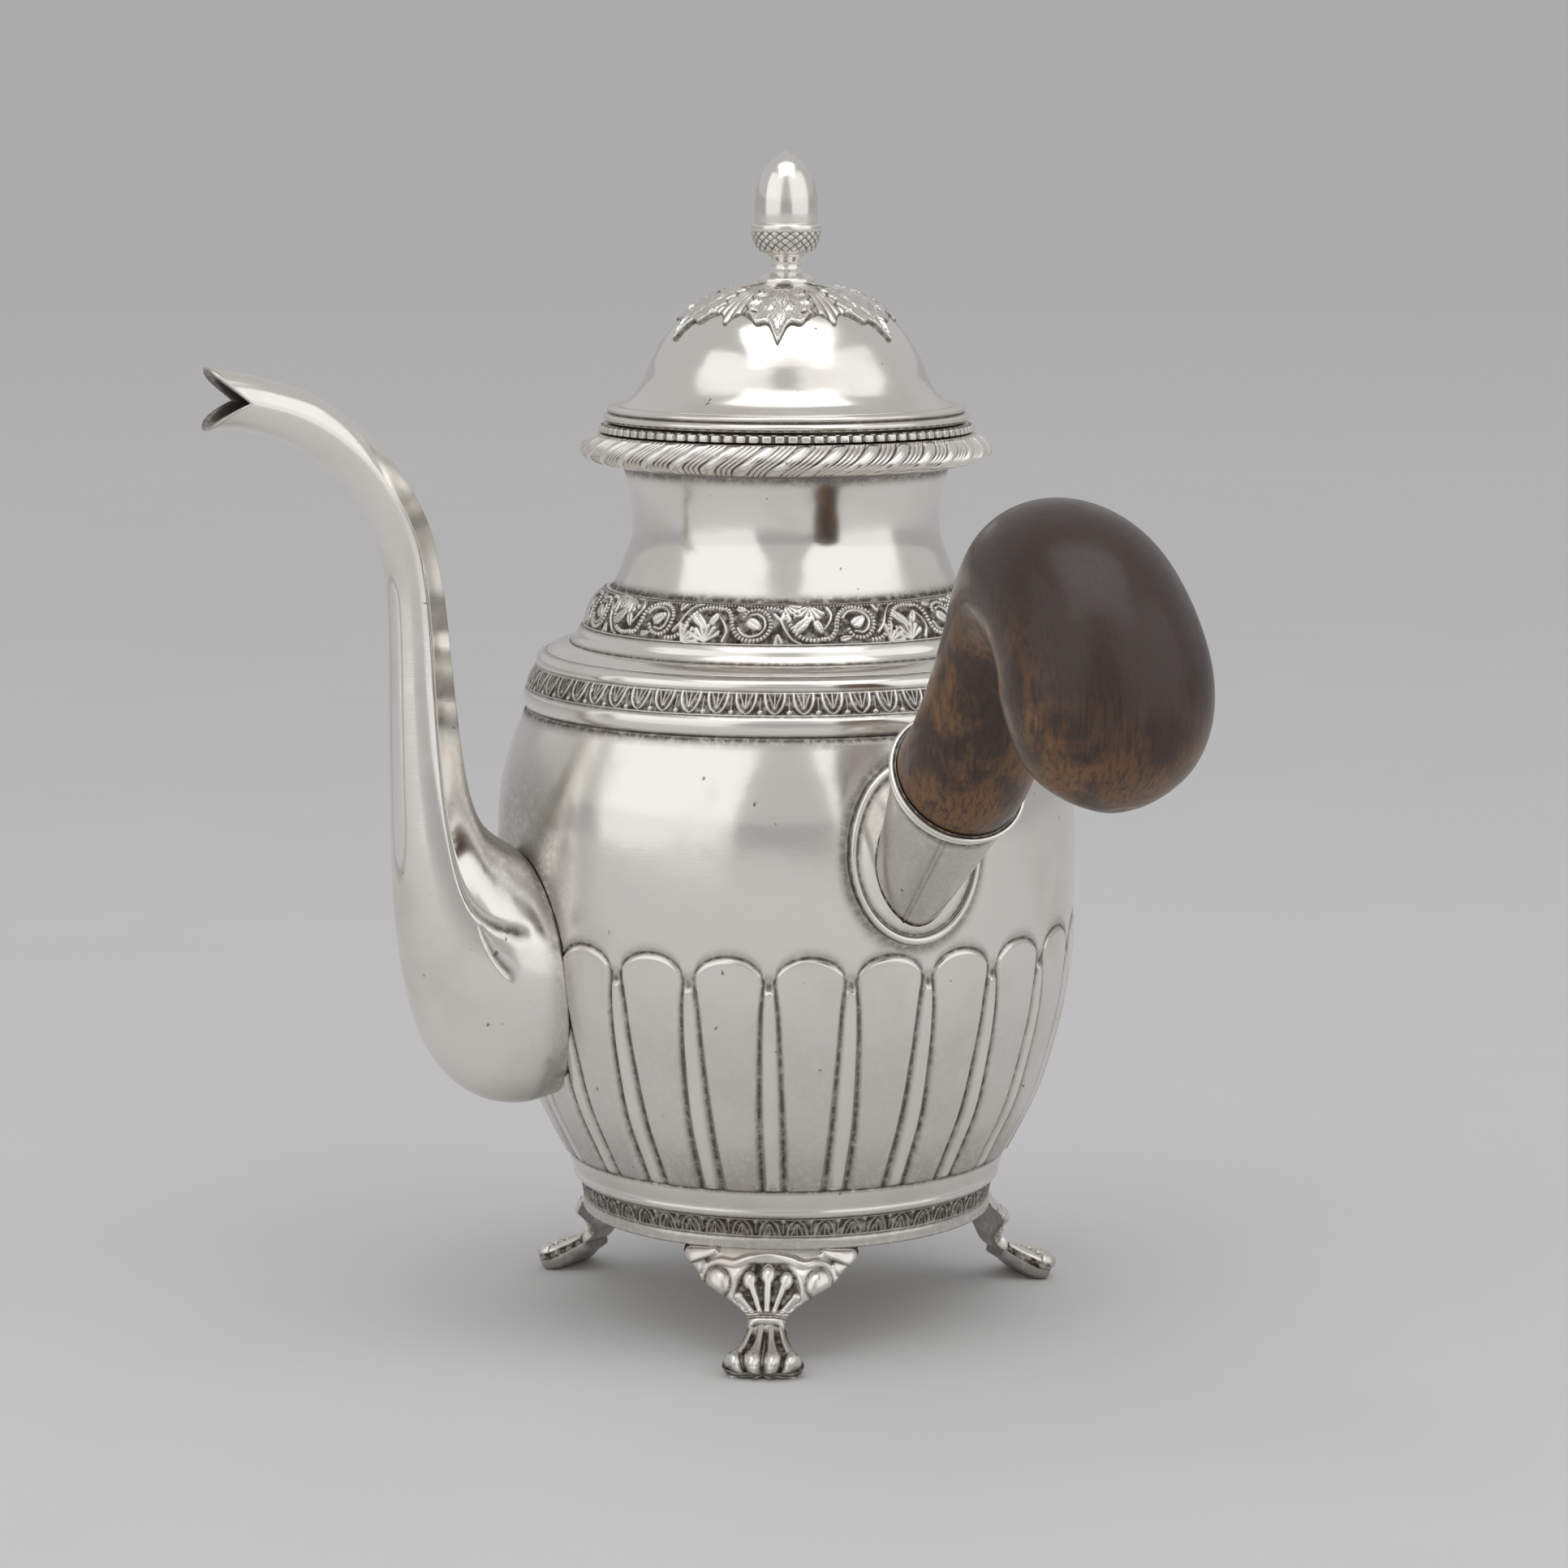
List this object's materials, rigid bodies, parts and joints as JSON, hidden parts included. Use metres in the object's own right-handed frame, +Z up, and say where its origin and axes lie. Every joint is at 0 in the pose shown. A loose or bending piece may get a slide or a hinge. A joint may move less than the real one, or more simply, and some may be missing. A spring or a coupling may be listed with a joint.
{
  "type": "coffee pot",
  "caption": "Silver ovoid coffee pot on paw feet with a tall S-shaped spout, a wooden side handle and a lift-off domed lid with an acorn finial.",
  "frame": {"origin": "on the table, under the axis of the pot's body", "axes": "+Z up along the body's axis, spout towards -X, handle towards -Y"},
  "size_m": [0.2105, 0.2397, 0.27],
  "materials": {
    "polished_silver": "polished silver with a faint warm tarnish and fine scratches",
    "chased_silver": "cast or chased silver with dark tarnish in the recesses",
    "dark_wood": "dark stained hardwood, satin, with amber patches worn by the hand"
  },
  "bodies": {
    "pot": {"body_shell": "polished_silver", "bottom_disc": "polished_silver", "base_ring": "polished_silver", "base_lower_moulding": "polished_silver", "base_leaf_band": "chased_silver", "base_upper_moulding": "polished_silver", "foot_front": "chased_silver", "foot_back": "chased_silver", "foot_side": "chased_silver", "shoulder_lower_moulding": "polished_silver", "shoulder_leaf_band": "chased_silver", "shoulder_upper_moulding": "polished_silver", "shoulder_cap": "polished_silver", "scroll_band_moulding": "polished_silver", "scroll_band": "chased_silver", "neck": "polished_silver", "rim_gadroon": "chased_silver", "rim_beading": "chased_silver", "spout": "polished_silver", "handle_plate": "polished_silver", "handle_socket": "polished_silver", "socket_rim_wire": "polished_silver", "handle_grip": "dark_wood", "handle_pin": "polished_silver"},
    "lid": {"lid_dome": "polished_silver", "lid_rosette": "chased_silver", "lid_rim_moulding": "polished_silver", "lid_bezel": "polished_silver", "finial_foot": "polished_silver", "finial_stem": "polished_silver", "acorn_cup": "chased_silver", "acorn": "polished_silver", "finial_stud": "polished_silver", "finial_nut": "polished_silver"}
  },
  "joints": [
    {"name": "lid_lift", "type": "slide", "parent": "pot", "child": "lid", "axis": [0, 0, 1], "range_m": [0, 0.06]}
  ]
}
